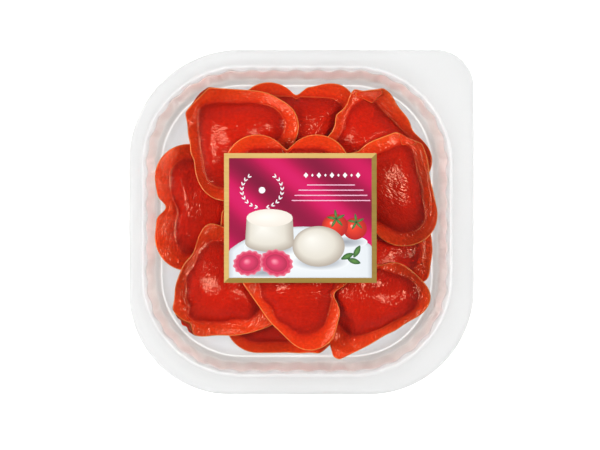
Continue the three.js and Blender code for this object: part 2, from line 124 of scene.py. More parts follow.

# Where each heart lies, as in the CAD: its tip, its heading, the folded length of the tip and how
# it compares with the usual heart. The rest is what shows on it, as marks: a bearing and a spread in
# degrees, and a size. They change the edge, the dome's foot, the flange's curl and the ridge round
# the foot by millimetres, and "under" is how far a tip that is folded under shows beyond the edge.
# "warm" paints the flange lighter and more orange there, as painted light, or darker and redder where
# it is negative, as painted shade. "relief" holds ridges and dents: their spread, their height and the
# path they follow. "flap" is the folded tip lying on top: its half width, its length and its lean.
# "grain" is the direction of the rolling, and "tone" how light the dough of that heart is painted:
# painted light and shade for how much light reaches it.
USUAL = {"fold": 6, "width": 1.0, "length": 1.0, "grain": 0, "tone": 1.0}
HEARTS = {
    "raviolo_01": {
        "tip": (-15.8, 7.8), "heading": 180, "grain": 15, "tone": 1.28,
        "edge": [(80, 8, 2), (101, 8, 2.4), (75, 60, 0.9), (150, 30, 0.7)],
        "foot": [(100, 26, -4.4), (137, 18, -2.6)], "curl": [(58, 24, 1.2), (120, 30, 0.8)],
        "ridge": [(116, 16, 0.5), (48, 14, 0.4)],
        "relief": [
            (0.8, 0.5, (18.8, 48.1), (18.8, 43.4)), (1.6, 0.8, (-1.5, 52), (3, 53)),
            (0.9, 0.4, (-5, 41), (-6.5, 35.5)), (3.2, 1.7, (15.2, 46.5), (7.9, 46), (-4.7, 44)),
            (1.5, 0.5, (-7.8, 41.8), (-7.3, 39.2)), (1.2, 0.5, (-15.1, 44.5), (-15.6, 42.4)),
        ],
    },
    "raviolo_02": {
        "tip": (18.2, -69.8), "heading": 138, "length": 0.99, "grain": 40, "tone": 0.84,
        "edge": [(172, 40, -1.9), (225, 24, -1.1), (253, 12, -1.2)],
    },
    "raviolo_03": {
        "tip": (-3.4, 13), "heading": 88, "width": 0.98, "length": 0.99, "grain": 10, "tone": 0.94,
        "edge": [(82, 8, 2.4), (47, 14, 1.4)], "ridge": [(90, 50, 0.5)],
        "relief": [(1, 0.6, (15, 42.2), (10, 34.1))],
    },
    "raviolo_04": {
        "tip": (8.6, -1.6), "heading": -37, "length": 0.98, "grain": 70, "tone": 1.2,
        "edge": [(109, 13, 5.2), (152, 6, 0.9)], "foot": [(122, 20, 1.6)],
        "curl": [(130, 30, -0.4)], "warm": [(135, 30, 0.3)],
        "relief": [(3, 1.6, (-22.8, 48.5), (-17.8, 52.3))],
    },
    "raviolo_05": {"tip": (-48, 1), "heading": -5, "width": 0.95, "length": 0.98},
    "raviolo_06": {
        "tip": (-69, -58), "heading": 38, "fold": 10, "width": 0.96, "grain": 60,
        "edge": [
            (153, 10, 2.8), (176, 13, -4.6), (222, 22, 1.8), (256, 12, 1.4),
            (278, 7, -1.6), (298, 14, 1.2), (6, 17, -3.2),
        ],
        "foot": [(206, 20, 4), (236, 14, 2), (258, 10, -1.2), (352, 16, -2), (24, 18, -5.2)],
        "curl": [(340, 30, 0.2), (235, 30, 0.6)], "ridge": [(232, 24, 0.3)],
        "relief": [
            (0.5, 0.5, (-8.5, 13.5), (-4, 16.5)), (0.5, 0.4, (-5.5, 11), (-1, 14.5)),
            (0.7, 0.4, (2, 13.5), (14, 22.5), (22, 32)),
        ],
        "under": [(272, 5, 2.5), (281, 6, 2.6), (262, 4, 0.8)],
    },
    "raviolo_07": {
        "tip": (17.5, -73), "heading": 66, "fold": 2, "width": 0.99, "length": 1.02,
        "edge": [
            (27, 12, 1.3), (271, 8, 0.3), (80, 14, 1.2), (50, 15, -1.9), (0, 12, -2.7), (334, 24, -1.4),
        ],
        "foot": [(268, 14, -3.2), (330, 40, 1.6), (34, 26, 2.4)],
        "curl": [(300, 40, 0.6), (20, 30, 0.8)], "warm": [(20, 30, 0.45), (320, 30, 0.2)],
        "ridge": [(330, 40, 0.2), (40, 8, 0.5)],
        "relief": [
            (0.8, 0.4, (0.5, 38), (10, 37.4), (17.5, 38)),
            (0.9, 0.6, (18.5, 39.5), (20.2, 44), (19.5, 48)), (5, -2, (-3, 15), (-2, 20)),
            (4, -1.5, (10, 45.5), (1, 43)), (4.5, 1.2, (-13, 39), (-13, 32)),
        ],
        "grain": 80, "tone": 0.94,
    },
    "raviolo_08": {
        "tip": (-62.4, 71.4), "heading": -45, "fold": 10, "width": 1.02, "length": 1.05, "grain": 45,
        "edge": [(355, 30, -4.6), (342, 10, 1.5), (172, 14, -2), (303, 14, -1)],
        "foot": [(6, 16, -1.6), (265, 14, -1.5), (188, 14, 1.2)],
        "curl": [(160, 30, 1.7), (330, 40, 0.5)],
        "ridge": [(345, 30, 0.4), (20, 20, 0.4), (167, 12, 0.5), (142, 6, 0.5)],
        "relief": [
            (0.8, 0.5, (-16.7, 42.1), (-18.9, 47.8)), (4, -0.9, (6.4, 33.7), (8.5, 36)),
            (3.5, 0.7, (2.8, 21.8), (7.1, 26)), (3, 0.6, (9.7, 26.3), (18.7, 40)),
            (4.5, -0.8, (-0.5, 19.3), (-8.4, 27)), (3, 0.8, (-14.2, 38), (-16.5, 46.5)),
        ],
        "under": [(262, 12, 1.1)],
    },
    "raviolo_09": {
        "tip": (34.7, 76.2), "heading": -86, "fold": 8, "width": 0.96, "grain": 20,
        "edge": [
            (288, 9, 2.2), (268, 9, 0.8), (321, 8, 1.4), (346, 18, -2.6), (246, 13, 2.4), (184, 17, -4.3),
        ],
        "foot": [(298, 26, 4.4)], "curl": [(310, 40, 0.8), (215, 40, 0.3)],
        "warm": [(240, 26, 0.5), (200, 18, 0.2)], "ridge": [(222, 28, 0.5)],
        "relief": [(0.6, 0.3, (-3.5, 12.5), (-12, 20)), (0.9, 0.3, (-2, 36), (-7, 40))],
        "flap": (9, 6, -1.6),
    },
    "raviolo_10": {
        "tip": (59.8, 51), "heading": -118, "fold": 8, "length": 1.02, "grain": 5,
        "edge": [(341, 14, -2.6), (238, 22, 1.8), (199, 14, 0.7), (165, 20, 1.5)],
        "foot": [(252, 24, 2.6), (205, 28, 2.4), (163, 20, 2)],
        "curl": [(140, 34, 1.2), (320, 34, 0.5)], "warm": [(300, 16, 0.35), (215, 30, 0.3)],
        "ridge": [(170, 20, 0.5), (225, 24, 0.45)],
        "relief": [
            (0.45, 0.35, (-8.5, 11.5), (-17.5, 20.5), (-25.5, 30.5), (-29, 38)),
            (2.5, 0.9, (9, 15), (14, 20)), (0.7, 0.3, (-18.5, 34), (-21.5, 40)),
            (3.5, -0.6, (-2.3, 27.8), (-8.7, 40.2)), (3, 0.6, (-11, 23.3), (-17.4, 35.7)),
        ],
        "flap": (6, 4.5, 1.5),
    },
    "raviolo_11": {
        "tip": (-35.7, -25), "heading": -13, "width": 1.01, "length": 1.01, "grain": 77,
        "edge": [(1, 15, -2.4), (58, 10, -1.6), (102, 9, 1.6)],
        "foot": [(306, 18, 3.4), (344, 16, 3.6), (30, 18, -1.6)],
        "curl": [(20, 40, 0.3), (75, 24, 0.5)], "warm": [(10, 30, -0.5)], "ridge": [(70, 16, 0.3)],
        "relief": [
            (0.6, 0.35, (-3.7, 50.5), (1.7, 52.3)), (0.6, 0.35, (-5, 40.2), (2.6, 41.9)),
            (0.6, 0.3, (-5.9, 25.6), (1.1, 27.8)), (0.6, 0.35, (5.4, 45.7), (9.4, 46.7)),
            (0.6, 0.25, (-3, 45.5), (4, 47.5)),
        ],
    },
    "raviolo_12": {
        "tip": (-7.6, -14.6), "heading": 90,
        "edge": [(90, 4, -1.3)], "curl": [(60, 50, 0.5), (130, 40, 0.5)],
    },
}

# The camera looks straight down on a field of this width.
FIELD_WIDTH = 313.0
FIELD_CENTRE = (-0.78, -1.57)
CAMERA_HEIGHT = 10000.0
SENSOR_WIDTH = 36.0


# ---- curves

def unit(angles):
    """The directions of angles in radians, with a length of 1."""
    return np.stack([np.cos(angles), np.sin(angles)], axis=1)


def arc(centre, radius, start, end, count=40):
    return np.array(centre) + radius * unit(np.linspace(start, end, count))


def rounded(half, radii, centre=(0, 0), first=0, count=40):
    """A rounded rectangle, counter-clockwise from one of its corners. Corner 0 is +X +Y."""
    signs = np.array([(1, 1), (-1, 1), (-1, -1), (1, -1)])
    corners = []
    for k in range(first, first + 4):
        radius = radii[k % 4]
        start = k * pi / 2
        middle = centre + signs[k % 4] * (half - radius)
        corners.append(arc(middle, radius, start, start + pi / 2, count))
    return np.concatenate(corners)


def bent(turn):
    """How far a bend of radius 1 has gone sideways and up after a turn in degrees."""
    return sin(radians(turn)), 1 - cos(radians(turn))


def dense(outline, step=0.25):
    """A closed outline with its long stretches divided into steps of about this length."""
    points = []
    for start, end in zip(outline, np.roll(outline, -1, axis=0)):
        count = max(1, int(np.hypot(*(end - start)) / step))
        points.append(start + (end - start) * (np.arange(count) / count)[:, None])
    return np.concatenate(points)


def evenly(outline, count):
    """Points at equal distances along a closed outline."""
    closed = np.vstack([outline, outline[:1]])
    run = np.concatenate([[0], np.cumsum(np.hypot(*np.diff(closed, axis=0).T))])
    at = np.arange(count) / count * run[-1]
    return np.stack([np.interp(at, run, closed[:, k]) for k in (0, 1)], axis=1)


def polar(points, centre):
    """The bearing and the distance of each point, seen from a centre."""
    x, y = (points - centre).T
    return np.arctan2(y, x), np.hypot(x, y)


def reach(outline, centre, angles):
    """How far a closed outline lies from an inner point in each direction."""
    return np.interp(angles, *polar(dense(outline), centre), period=tau)


def lifted(flat, z):
    """Points of a plan, raised to a height or to one height each."""
    return np.column_stack([flat, np.broadcast_to(z, len(flat))])


def hump(distance, spread):
    """A smooth hump: 1 in its middle, and fading out round its spread."""
    return np.exp(-((distance / spread) ** 2))


def smoothstep(low, high, value):
    """Runs smoothly from 0 at the low value to 1 at the high one."""
    share = np.clip((value - low) / (high - low), 0, 1)
    return share * share * (3 - 2 * share)


def swell(points, shortest, longest, seed, waves=28):
    """Smooth unevenness, mostly between -1 and 1: many plane waves of mixed lengths and headings."""
    draw = np.random.default_rng(seed)
    lengths = np.exp(draw.uniform(log(shortest), log(longest), waves))
    headings = draw.uniform(0, tau, waves)
    phases = draw.uniform(0, tau, waves)
    turns = tau / lengths
    along = points[..., :1] * np.cos(headings) * turns + points[..., 1:2] * np.sin(headings) * turns
    return np.sin(along + phases).sum(axis=-1) / sqrt(waves)


# ---- meshes

def closed_skin(top_pole, rings, bottom_pole):
    """Vertices and faces of one closed body, from the middle of its top over its edge to the
    middle of its underside. Rings run counter-clockwise seen from above."""
    ring_count, count = rings.shape[:2]
    vertices = np.vstack([[top_pole], rings.reshape(-1, 3), [bottom_pole]])
    index = 1 + np.arange(ring_count * count).reshape(ring_count, count)
    ahead = np.roll(index, -1, axis=1)
    quads = np.stack([index[:-1], index[1:], ahead[1:], ahead[:-1]], axis=-1).reshape(-1, 4)
    last = len(vertices) - 1
    caps = [(0, a, b) for a, b in zip(index[0], ahead[0])]
    caps += [(b, a, last) for a, b in zip(index[-1], ahead[-1])]
    return vertices, quads.tolist() + caps


class Bodies:
    """Closed bodies, gathered into one mesh."""

    def __init__(self):
        self.vertices, self.faces = [], []

    def body(self, top_pole, rings, bottom_pole):
        """Adds a body, and returns how many faces it has."""
        start = sum(map(len, self.vertices))
        vertices, faces = closed_skin(top_pole, np.array(rings), bottom_pole)
        self.vertices.append(vertices)
        self.faces += [tuple(corner + start for corner in face) for face in faces]
        return len(faces)


def linked(name, data):
    """A new object in the scene."""
    made = bpy.data.objects.new(name, data)
    bpy.context.scene.collection.objects.link(made)
    return made


def piece(name, vertices, faces, materials, slots=None, smooth=True, **attributes):
    """A new object from vertices in millimetres."""
    mesh = bpy.data.meshes.new(name)
    mesh.from_pydata((np.asarray(vertices) * MM).tolist(), [], faces)
    mesh.polygons.foreach_set("use_smooth", [smooth] * len(mesh.polygons))
    for material in materials:
        mesh.materials.append(material)
    if slots is not None:
        mesh.polygons.foreach_set("material_index", slots)
    for key, values in attributes.items():
        kind, field = ("FLOAT", "value") if np.ndim(values) == 1 else ("FLOAT_VECTOR", "vector")
        layer = mesh.attributes.new(key, kind, "POINT")
        layer.data.foreach_set(field, np.asarray(values, np.float32).ravel())
    mesh.update()
    return linked(name, mesh)


# ---- materials

class Nodes:
    """A short way to write a node material."""

    def __init__(self, name):
        self.material = bpy.data.materials.new(name)
        self.material.use_nodes = True
        self.tree = self.material.node_tree
        self.tree.nodes.clear()

    def add(self, kind, inputs=None, **settings):
        node = self.tree.nodes.new(kind)
        for key, value in settings.items():
            setattr(node, key, value)
        for key, value in (inputs or {}).items():
            if isinstance(value, bpy.types.NodeSocket):
                self.tree.links.new(value, node.inputs[key])
            else:
                node.inputs[key].default_value = value
        return node

    def math(self, operation, *values):
        return self.add("ShaderNodeMath", dict(enumerate(values)), operation=operation).outputs[0]

    def mix(self, share, first, second, blend="MIX"):
        # Of this node's sockets, 6 and 7 are the colours that go in, and 2 the one that comes out.
        inputs = {0: share, 6: first, 7: second}
        return self.add("ShaderNodeMix", inputs, data_type="RGBA", blend_type=blend).outputs[2]

    def ramp(self, share, stops):
        """A stop is a position, with a grey or with red, green and blue."""
        node = self.add("ShaderNodeValToRGB", {"Fac": share})
        elements = node.color_ramp.elements
        while len(elements) < len(stops):
            elements.new(0.5)
        for element, (position, *color) in zip(elements, stops):
            element.position = position
            element.color = (*color, 1) if len(color) == 3 else grey(*color)
        return node.outputs["Color"]

    def attribute(self, name, output="Fac"):
        return self.add("ShaderNodeAttribute", attribute_name=name).outputs[output]

    def noise(self, where, scale, detail=3.0):
        inputs = {"Vector": where, "Scale": scale, "Detail": detail, "Roughness": 0.55}
        return self.add("ShaderNodeTexNoise", inputs).outputs["Fac"]

    def bands(self, where, direction, **sockets):
        inputs = {"Vector": where, **spaced(sockets)}
        return self.add("ShaderNodeTexWave", inputs, bands_direction=direction).outputs["Fac"]

    def bump(self, height, strength, distance, **sockets):
        inputs = {"Height": height, "Strength": strength, "Distance": distance, **sockets}
        return self.add("ShaderNodeBump", inputs).outputs["Normal"]

    def place(self):
        """Where a point lies on its object."""
        return self.add("ShaderNodeTexCoord").outputs["Object"]

    def finish(self, shader):
        self.add("ShaderNodeOutputMaterial", {"Surface": shader})
        return self.material

    def surface(self, **sockets):
        """Ends the material with a principled shader."""
        return self.finish(self.add("ShaderNodeBsdfPrincipled", spaced(sockets)).outputs["BSDF"])


def spaced(sockets):
    """Sockets by their names in Blender, which have spaces."""
    return {key.replace("_", " "): value for key, value in sockets.items()}


def grey(value):
    return (value, value, value, 1.0)


def pasta_material():
    """Red egg dough: deep red over the filling, orange at the flange and light at its cut edge. It also
    carries painted shade at the dome's foot, painted light on the cut edge and on some flanges, and a
    painted glint along the crease.
    """
    n = Nodes("pasta")
    place = n.math("DIVIDE", n.attribute("zone"), ZONE_SPAN)
    local = n.attribute("grain", "Vector")
    # In this ramp the dark stop just inside the dome's foot is painted shade, and the last stop, which
    # only the warm marks reach, is painted light on the flange.
    body = n.ramp(place, [
        (0.0, 0.60, 0.009, 0.002),
        (0.323, 0.60, 0.008, 0.002),
        (0.373, 0.38, 0.005, 0.002),
        (0.408, 0.62, 0.014, 0.003),
        (0.508, 0.80, 0.036, 0.004),
        (0.77, 0.84, 0.052, 0.005),
        (1.0, 0.95, 0.14, 0.02),
    ])
    darker = n.mix(0.5, body, (0.40, 0.004, 0.003, 1))
    lighter = n.mix(0.25, body, (0.95, 0.08, 0.01, 1))
    cloudy = n.mix(n.noise(local, 90.0), darker, lighter)
    speckle = n.ramp(n.noise(local, 700.0, detail=2.0), [(0.35, 0.86), (0.65, 1.08)])
    # Each heart's tone lightens or darkens its dough: painted light and shade for how much light reaches
    # that heart.
    shaded = n.mix(1.0, speckle, n.attribute("tone"), "MULTIPLY")
    tinted = n.mix(1.0, n.mix(0.45, body, cloudy), shaded, "MULTIPLY")
    # The cut attribute paints a light orange: the cut edge's own paler colour with painted light on it,
    # and a painted glint along the crease.
    pale_edge_and_glint = n.mix(n.attribute("cut"), tinted, (1.0, 0.36, 0.09, 1))
    ridges = n.bands(local, "Y", Scale=230.0, Distortion=9.0, Detail=2.0, Detail_Scale=2.2)
    rolled = n.add("ShaderNodeMapping", {"Vector": local, "Scale": (0.45, 1.0, 1.0)}).outputs[0]
    streaks = n.noise(rolled, 850.0, detail=1.0)
    clumps = n.noise(local, 420.0, detail=2.0)
    relief = n.bump(streaks, 0.4, 0.0004)
    relief = n.bump(ridges, 0.27, 0.0003, Normal=relief)
    relief = n.bump(clumps, 0.12, 0.0005, Normal=relief)
    dull = n.ramp(place, [(0.354, 0.05), (0.477, 0.1)])
    dull = n.math("MULTIPLY_ADD", n.noise(local, 260.0, detail=2.0), 0.08, dull)
    return n.surface(
        Base_Color=pale_edge_and_glint,
        Roughness=dull,
        Normal=relief,
        Subsurface_Weight=0.05,
        Subsurface_Radius=(1.0, 0.15, 0.08),
        Subsurface_Scale=0.001,
        Specular_IOR_Level=0.6,
        Specular_Tint=(1.0, 0.55, 0.36, 1.0),
    )


def tray_material():
    """Frosted polypropylene: white, a little see-through, with a fine grain."""
    n = Nodes("frosted_plastic")
    where = n.place()
    clouds = n.noise(where, 22.0)
    # Painted light and shade: the ledge and the wall are painted lighter than the flange and the floor,
    # the bead's inner side and the foot darker, and the wall's warm pink tint is a painted reflection of
    # the dough.
    tint = n.ramp(n.attribute("place"), [
        (AT_FLANGE, 0.68, 0.685, 0.685),
        (AT_LEDGE_LIGHT, 1.0),
        (AT_BEAD_SHADE, 0.40, 0.37, 0.37),
        (AT_FLOOR, 0.68, 0.69, 0.70),
        (AT_FOOT_SHADE, 0.55, 0.53, 0.515),
        (AT_WALL_LIGHT, 1.0, 0.95, 0.915),
    ])
    cloudy = n.mix(n.math("MULTIPLY", clouds, 0.06), tint, grey(0.6))
    grain = n.noise(where, 1500.0, detail=2.0)
    return n.surface(
        Base_Color=cloudy,
        Roughness=n.math("MULTIPLY_ADD", grain, 0.1, 0.6),
        Normal=n.bump(grain, 0.12, 0.0001),
        Transmission_Weight=0.75,
        IOR=1.3,
    )


def film_material():
    """Clear film: only its gloss shows, more of it the flatter the film is looked at."""
    n = Nodes("clear_film")
    tension = n.bump(n.noise(n.place(), 14.0, detail=1.0), 0.2, 0.0004)
    sheen = {"Color": grey(1.0), "Roughness": 0.06, "Normal": tension}
    gloss = n.add("ShaderNodeBsdfAnisotropic", sheen).outputs[0]
    clear = n.add("ShaderNodeBsdfTransparent", {"Color": grey(0.985)}).outputs[0]
    # Unlike Fresnel, Facing is the same from both sides of the closed sheet.
    facing = n.add("ShaderNodeLayerWeight").outputs["Facing"]
    share = n.math("MULTIPLY_ADD", n.math("POWER", facing, 5.0), 0.7, 0.012)
    return n.finish(n.add("ShaderNodeMixShader", {0: share, 1: clear, 2: gloss}).outputs[0])


def floor_material():
    """A white ground that glows, so that it stays pure white under soft light."""
    n = Nodes("floor_white")
    return n.surface(
        Base_Color=n.mix(n.noise(n.place(), 30.0), grey(0.26), grey(0.28)),
        Roughness=0.8,
        Specular_IOR_Level=0.1,
        Emission_Color=grey(1.0),
        Emission_Strength=1.55,
    )


# ---- the tray

def opening_ring():
    """Points evenly spaced round the opening, with their outward directions and the flutes' wave."""
    outline = rounded(OPENING_HALF, [OPENING_RADIUS] * 4, first=3, count=120)
    points = evenly(dense(outline), FLUTES * POINTS_PER_FLUTE)
    ahead = np.roll(points, -1, axis=0) - np.roll(points, 1, axis=0)
    normals = np.stack([ahead[:, 1], -ahead[:, 0]], axis=1) / np.hypot(*ahead.T)[:, None]
    wave = np.cos(tau * np.arange(len(points)) / POINTS_PER_FLUTE)
    return points + OPENING_CENTRE, normals, wave


def flange_outline(inset):
    return rounded(TRAY_SIDE / 2 - inset, [radius - inset for radius in CORNER_RADII])


def build_tray(material):
    """One sheet, from the middle of the floor up the fluted wall and out over the flange, and back
    along its underside. Its place attribute tells its parts apart for the colour ramp, which paints them
    lighter or darker: painted light and shade."""
    points, normals, wave = opening_ring()
    angles, _ = polar(points, OPENING_CENTRE)
    toward = unit(angles)
    ledge_z = TRAY_HEIGHT - LEDGE_DROP
    foot_z = SHEET + FOOT_BEND
    step_out = LEDGE_WIDTH + LEDGE_DROP
    floor_edge = (ledge_z - foot_z) * tan(DRAFT) + FOOT_BEND  # inwards from the opening
    rings, places = [], []

    def add(ring, place=AT_FLANGE):
        rings.append(ring)
        places.append(np.full(len(ring), place))

    def wall(offset, z, flute=0.0):
        """Along the opening, moved outwards, with its flutes at a share of their depth."""
        return lifted(points + normals * (offset + flute * FLUTE_DEPTH * wave)[:, None], z)

    def outer(inset, z):
        """Along the flange's edge, moved inwards."""
        radii = reach(flange_outline(inset), OPENING_CENTRE, angles)
        return lifted(OPENING_CENTRE + toward * radii[:, None], z)

    def floor(share, z):
        return lifted(OPENING_CENTRE + (wall(-floor_edge, 0)[:, :2] - OPENING_CENTRE) * share, z)

    def slope(share, offset, top_z):
        """The fluted wall at a share of its height: the flutes fade towards its foot."""
        z = foot_z + (top_z - foot_z) * share
        return wall(offset - (ledge_z - z) * tan(DRAFT), z, 0.5 + 0.5 * smoothstep(0, 0.6, share))

    def sagging(near, far, shares):
        for share in shares:
            add(near + (far - near) * share - [0, 0, FLANGE_SAG * sin(pi * share)])

    # The floor, with a shallow raised ring, out to the rounded foot of the wall; it is painted darker near
    # the foot, as painted shade.
    for share in (0.15, 0.3, 0.45, 0.6, 0.72, 0.8, 0.84, 0.88, 0.94, 0.965, 0.985, 1.0):
        raised = smoothstep(0.78, 0.82, share) * (1 - smoothstep(0.84, 0.88, share))
        shaded = (AT_FOOT_SHADE - AT_FLOOR) * smoothstep(0.94, 0.985, share)
        add(floor(share, SHEET + FLOOR_RING * raised), AT_FLOOR + shaded)
    # The bend at the wall's foot is painted in shade, lightening towards the wall.
    for turn in (30, 60, 90):
        out, up = bent(turn)
        ring = wall(FOOT_BEND * out - floor_edge, SHEET + FOOT_BEND * up, turn / 180)
        add(ring, AT_FOOT_SHADE + 0.1 * smoothstep(30, 90, turn))
    for share in (0.15, 0.35, 0.6, 0.8, 0.92, 0.975):
        add(slope(share, 0.0, ledge_z), AT_WALL_LIGHT)
    # A rounded bead where the wall turns out, a ledge, and a step up to the sealing face. The bead's inner
    # side is painted shade; its top and the ledge are painted light.
    for turn in (0, 45, 90, 135):
        up, out = bent(turn)
        ring = wall(0.05 + BEAD * out, ledge_z - 0.1 + BEAD * 0.8 * up, 1.0)
        add(ring, AT_BEAD_SHADE if turn < 60 else AT_LEDGE_LIGHT)
    add(wall(BEAD * 2.4, ledge_z, 0.7), AT_LEDGE_LIGHT)
    add(wall(LEDGE_WIDTH - 0.5, ledge_z), 0.3)
    add(wall(LEDGE_WIDTH, ledge_z + 0.08), 0.1)
    add(wall(step_out - 0.35, TRAY_HEIGHT - 0.2))
    add(wall(step_out, TRAY_HEIGHT - 0.02))
    sagging(wall(step_out + 0.5, TRAY_HEIGHT), outer(LIP_WIDTH, TRAY_HEIGHT), (0.0, 0.25, 0.5, 0.75, 1.0))
    for turn in (20, 40, 60, 80):
        out, down = bent(turn)
        add(outer(LIP_WIDTH * (1 - out), TRAY_HEIGHT - LIP_DROP * down))
    # Under the lip, back along the flange, and down the outside of the wall.
    lip_z, under_z = TRAY_HEIGHT - LIP_DROP, TRAY_HEIGHT - SHEET
    add(outer(0.0, lip_z - 0.1))
    add(outer(SHEET * 0.6, lip_z - 0.2))
    add(outer(SHEET, lip_z))
    add(outer(LIP_WIDTH + SHEET / 2, under_z))
    sagging(outer(LIP_WIDTH + SHEET, under_z), wall(step_out + SHEET, under_z), (0.33, 0.66, 1.0))
    add(wall(LEDGE_WIDTH + SHEET / 2, ledge_z - SHEET))
    for share in (1.0, 0.8, 0.6, 0.35, 0.15, 0.0):
        add(slope(share, SHEET, ledge_z - SHEET), AT_WALL_LIGHT)
    for turn in (60, 30, 0):
        out, up = np.array(bent(turn)) * (FOOT_BEND + SHEET)
        add(wall(out - floor_edge, up, turn / 180), AT_FOOT_SHADE)
    for share in (0.99, 0.96, 0.93, 0.89, 0.84, 0.6, 0.3):
        add(floor(share, PUSH_UP * (1 - smoothstep(0.84, 0.99, share))), AT_FLOOR)
    vertices, faces = closed_skin([*OPENING_CENTRE, SHEET], np.array(rings), [*OPENING_CENTRE, PUSH_UP])
    place = np.concatenate([[AT_FLOOR], *places, [AT_FLOOR]])
    return piece("fluted_tray", vertices, faces, [material], place=place)


# ---- one heart

SIDE_ANGLE = asin(LOBE_RADIUS / hypot(LOBE_X, LOBE_Y)) + atan2(LOBE_X, LOBE_Y)


def heart_outline(fold):
    """The pressed edge: two lobes and a filleted notch, with the tip cut where it is folded."""
    notch_rise = sqrt((LOBE_RADIUS + NOTCH_RADIUS) ** 2 - LOBE_X**2)
    meet = atan2(notch_rise, -LOBE_X)
    corner = fold * tan(SIDE_ANGLE)
    return np.concatenate([
        [(-corner, fold), (corner, fold)],
        arc((LOBE_X, LOBE_Y), LOBE_RADIUS, -SIDE_ANGLE, meet),
        arc((0, LOBE_Y + notch_rise), NOTCH_RADIUS, meet - pi, -meet),
        arc((-LOBE_X, LOBE_Y), LOBE_RADIUS, pi - meet, pi + SIDE_ANGLE),
    ])


def dome_outline():
    """The foot of the dome: its sides run parallel to the edge, and its top is straight."""
    lobe = LOBE_RADIUS - FLANGE_WIDTH
    tip_y = (FLANGE_WIDTH + DOME_TIP_RADIUS) / sin(SIDE_ANGLE)
    return np.concatenate([
        arc((0, tip_y), DOME_TIP_RADIUS, pi + SIDE_ANGLE, tau - SIDE_ANGLE),
        arc((LOBE_X, LOBE_Y), lobe, -SIDE_ANGLE, pi / 2),
        arc((-LOBE_X, LOBE_Y), lobe, pi / 2, pi + SIDE_ANGLE),
    ])


def thin_plate(points, heights, softness):
    """A stiff smooth sheet that passes close to the given heights, as a function of the plan."""

    def kernel(a, b):
        gap = np.linalg.norm(a[:, None] - b[None], axis=2)
        return gap**2 * np.log(gap + 1e-9)

    def plane(a):
        return np.column_stack([np.ones(len(a)), a])

    count = len(points)
    flat = plane(points)
    system = np.block([
        [kernel(points, points) + softness * np.eye(count), flat],
        [flat.T, np.zeros((3, 3))],
    ])
    weights = np.linalg.solve(system, np.concatenate([heights, np.zeros(3)]))
    return lambda at: kernel(at, points) @ weights[:count] + plane(at) @ weights[count:]


def around(angles, marks):
    """Smooth swellings along an outline: each at a bearing, with its spread and its size."""
    total = np.zeros(len(angles))
    for bearing, spread, size in marks:
        off = np.angle(np.exp(1j * (angles - radians(bearing))))
        total += size * hump(off, radians(spread))
    return total


def soften(radii, spread=1.5):
    """Rounds off the corners of an outline a little."""
    taps = np.arange(-5, 6)
    weights = np.exp(-0.5 * (taps / spread) ** 2)
    rolled = np.stack([np.roll(radii, k) for k in taps])
    return (weights[:, None] * rolled).sum(axis=0) / weights.sum()


def broad(angles, radii, harmonics=2):
    """The same outline with only its broadest features."""
    even = np.linspace(0, tau, 256, endpoint=False)
    waves = np.fft.rfft(np.interp(even, angles, radii, period=tau))
    waves[harmonics + 1:] = 0
    return np.interp(angles, even, np.fft.irfft(waves, len(even)), period=tau)


def turned(points, degrees):
    """Points turned counter-clockwise round the origin."""
    turn = radians(degrees)
    return points @ np.array([[cos(turn), sin(turn)], [-sin(turn), cos(turn)]])


def gap_to(points, path):
    """How far points lie from a path of straight stretches."""
    gaps = []
    for start, end in zip(np.array(path[:-1], float), np.array(path[1:], float)):
        along = end - start
        share = np.clip((points - start) @ along / (along @ along), 0, 1)
        gaps.append(np.hypot(*(points - start - share[:, None] * along).T))
    return np.min(gaps, axis=0)


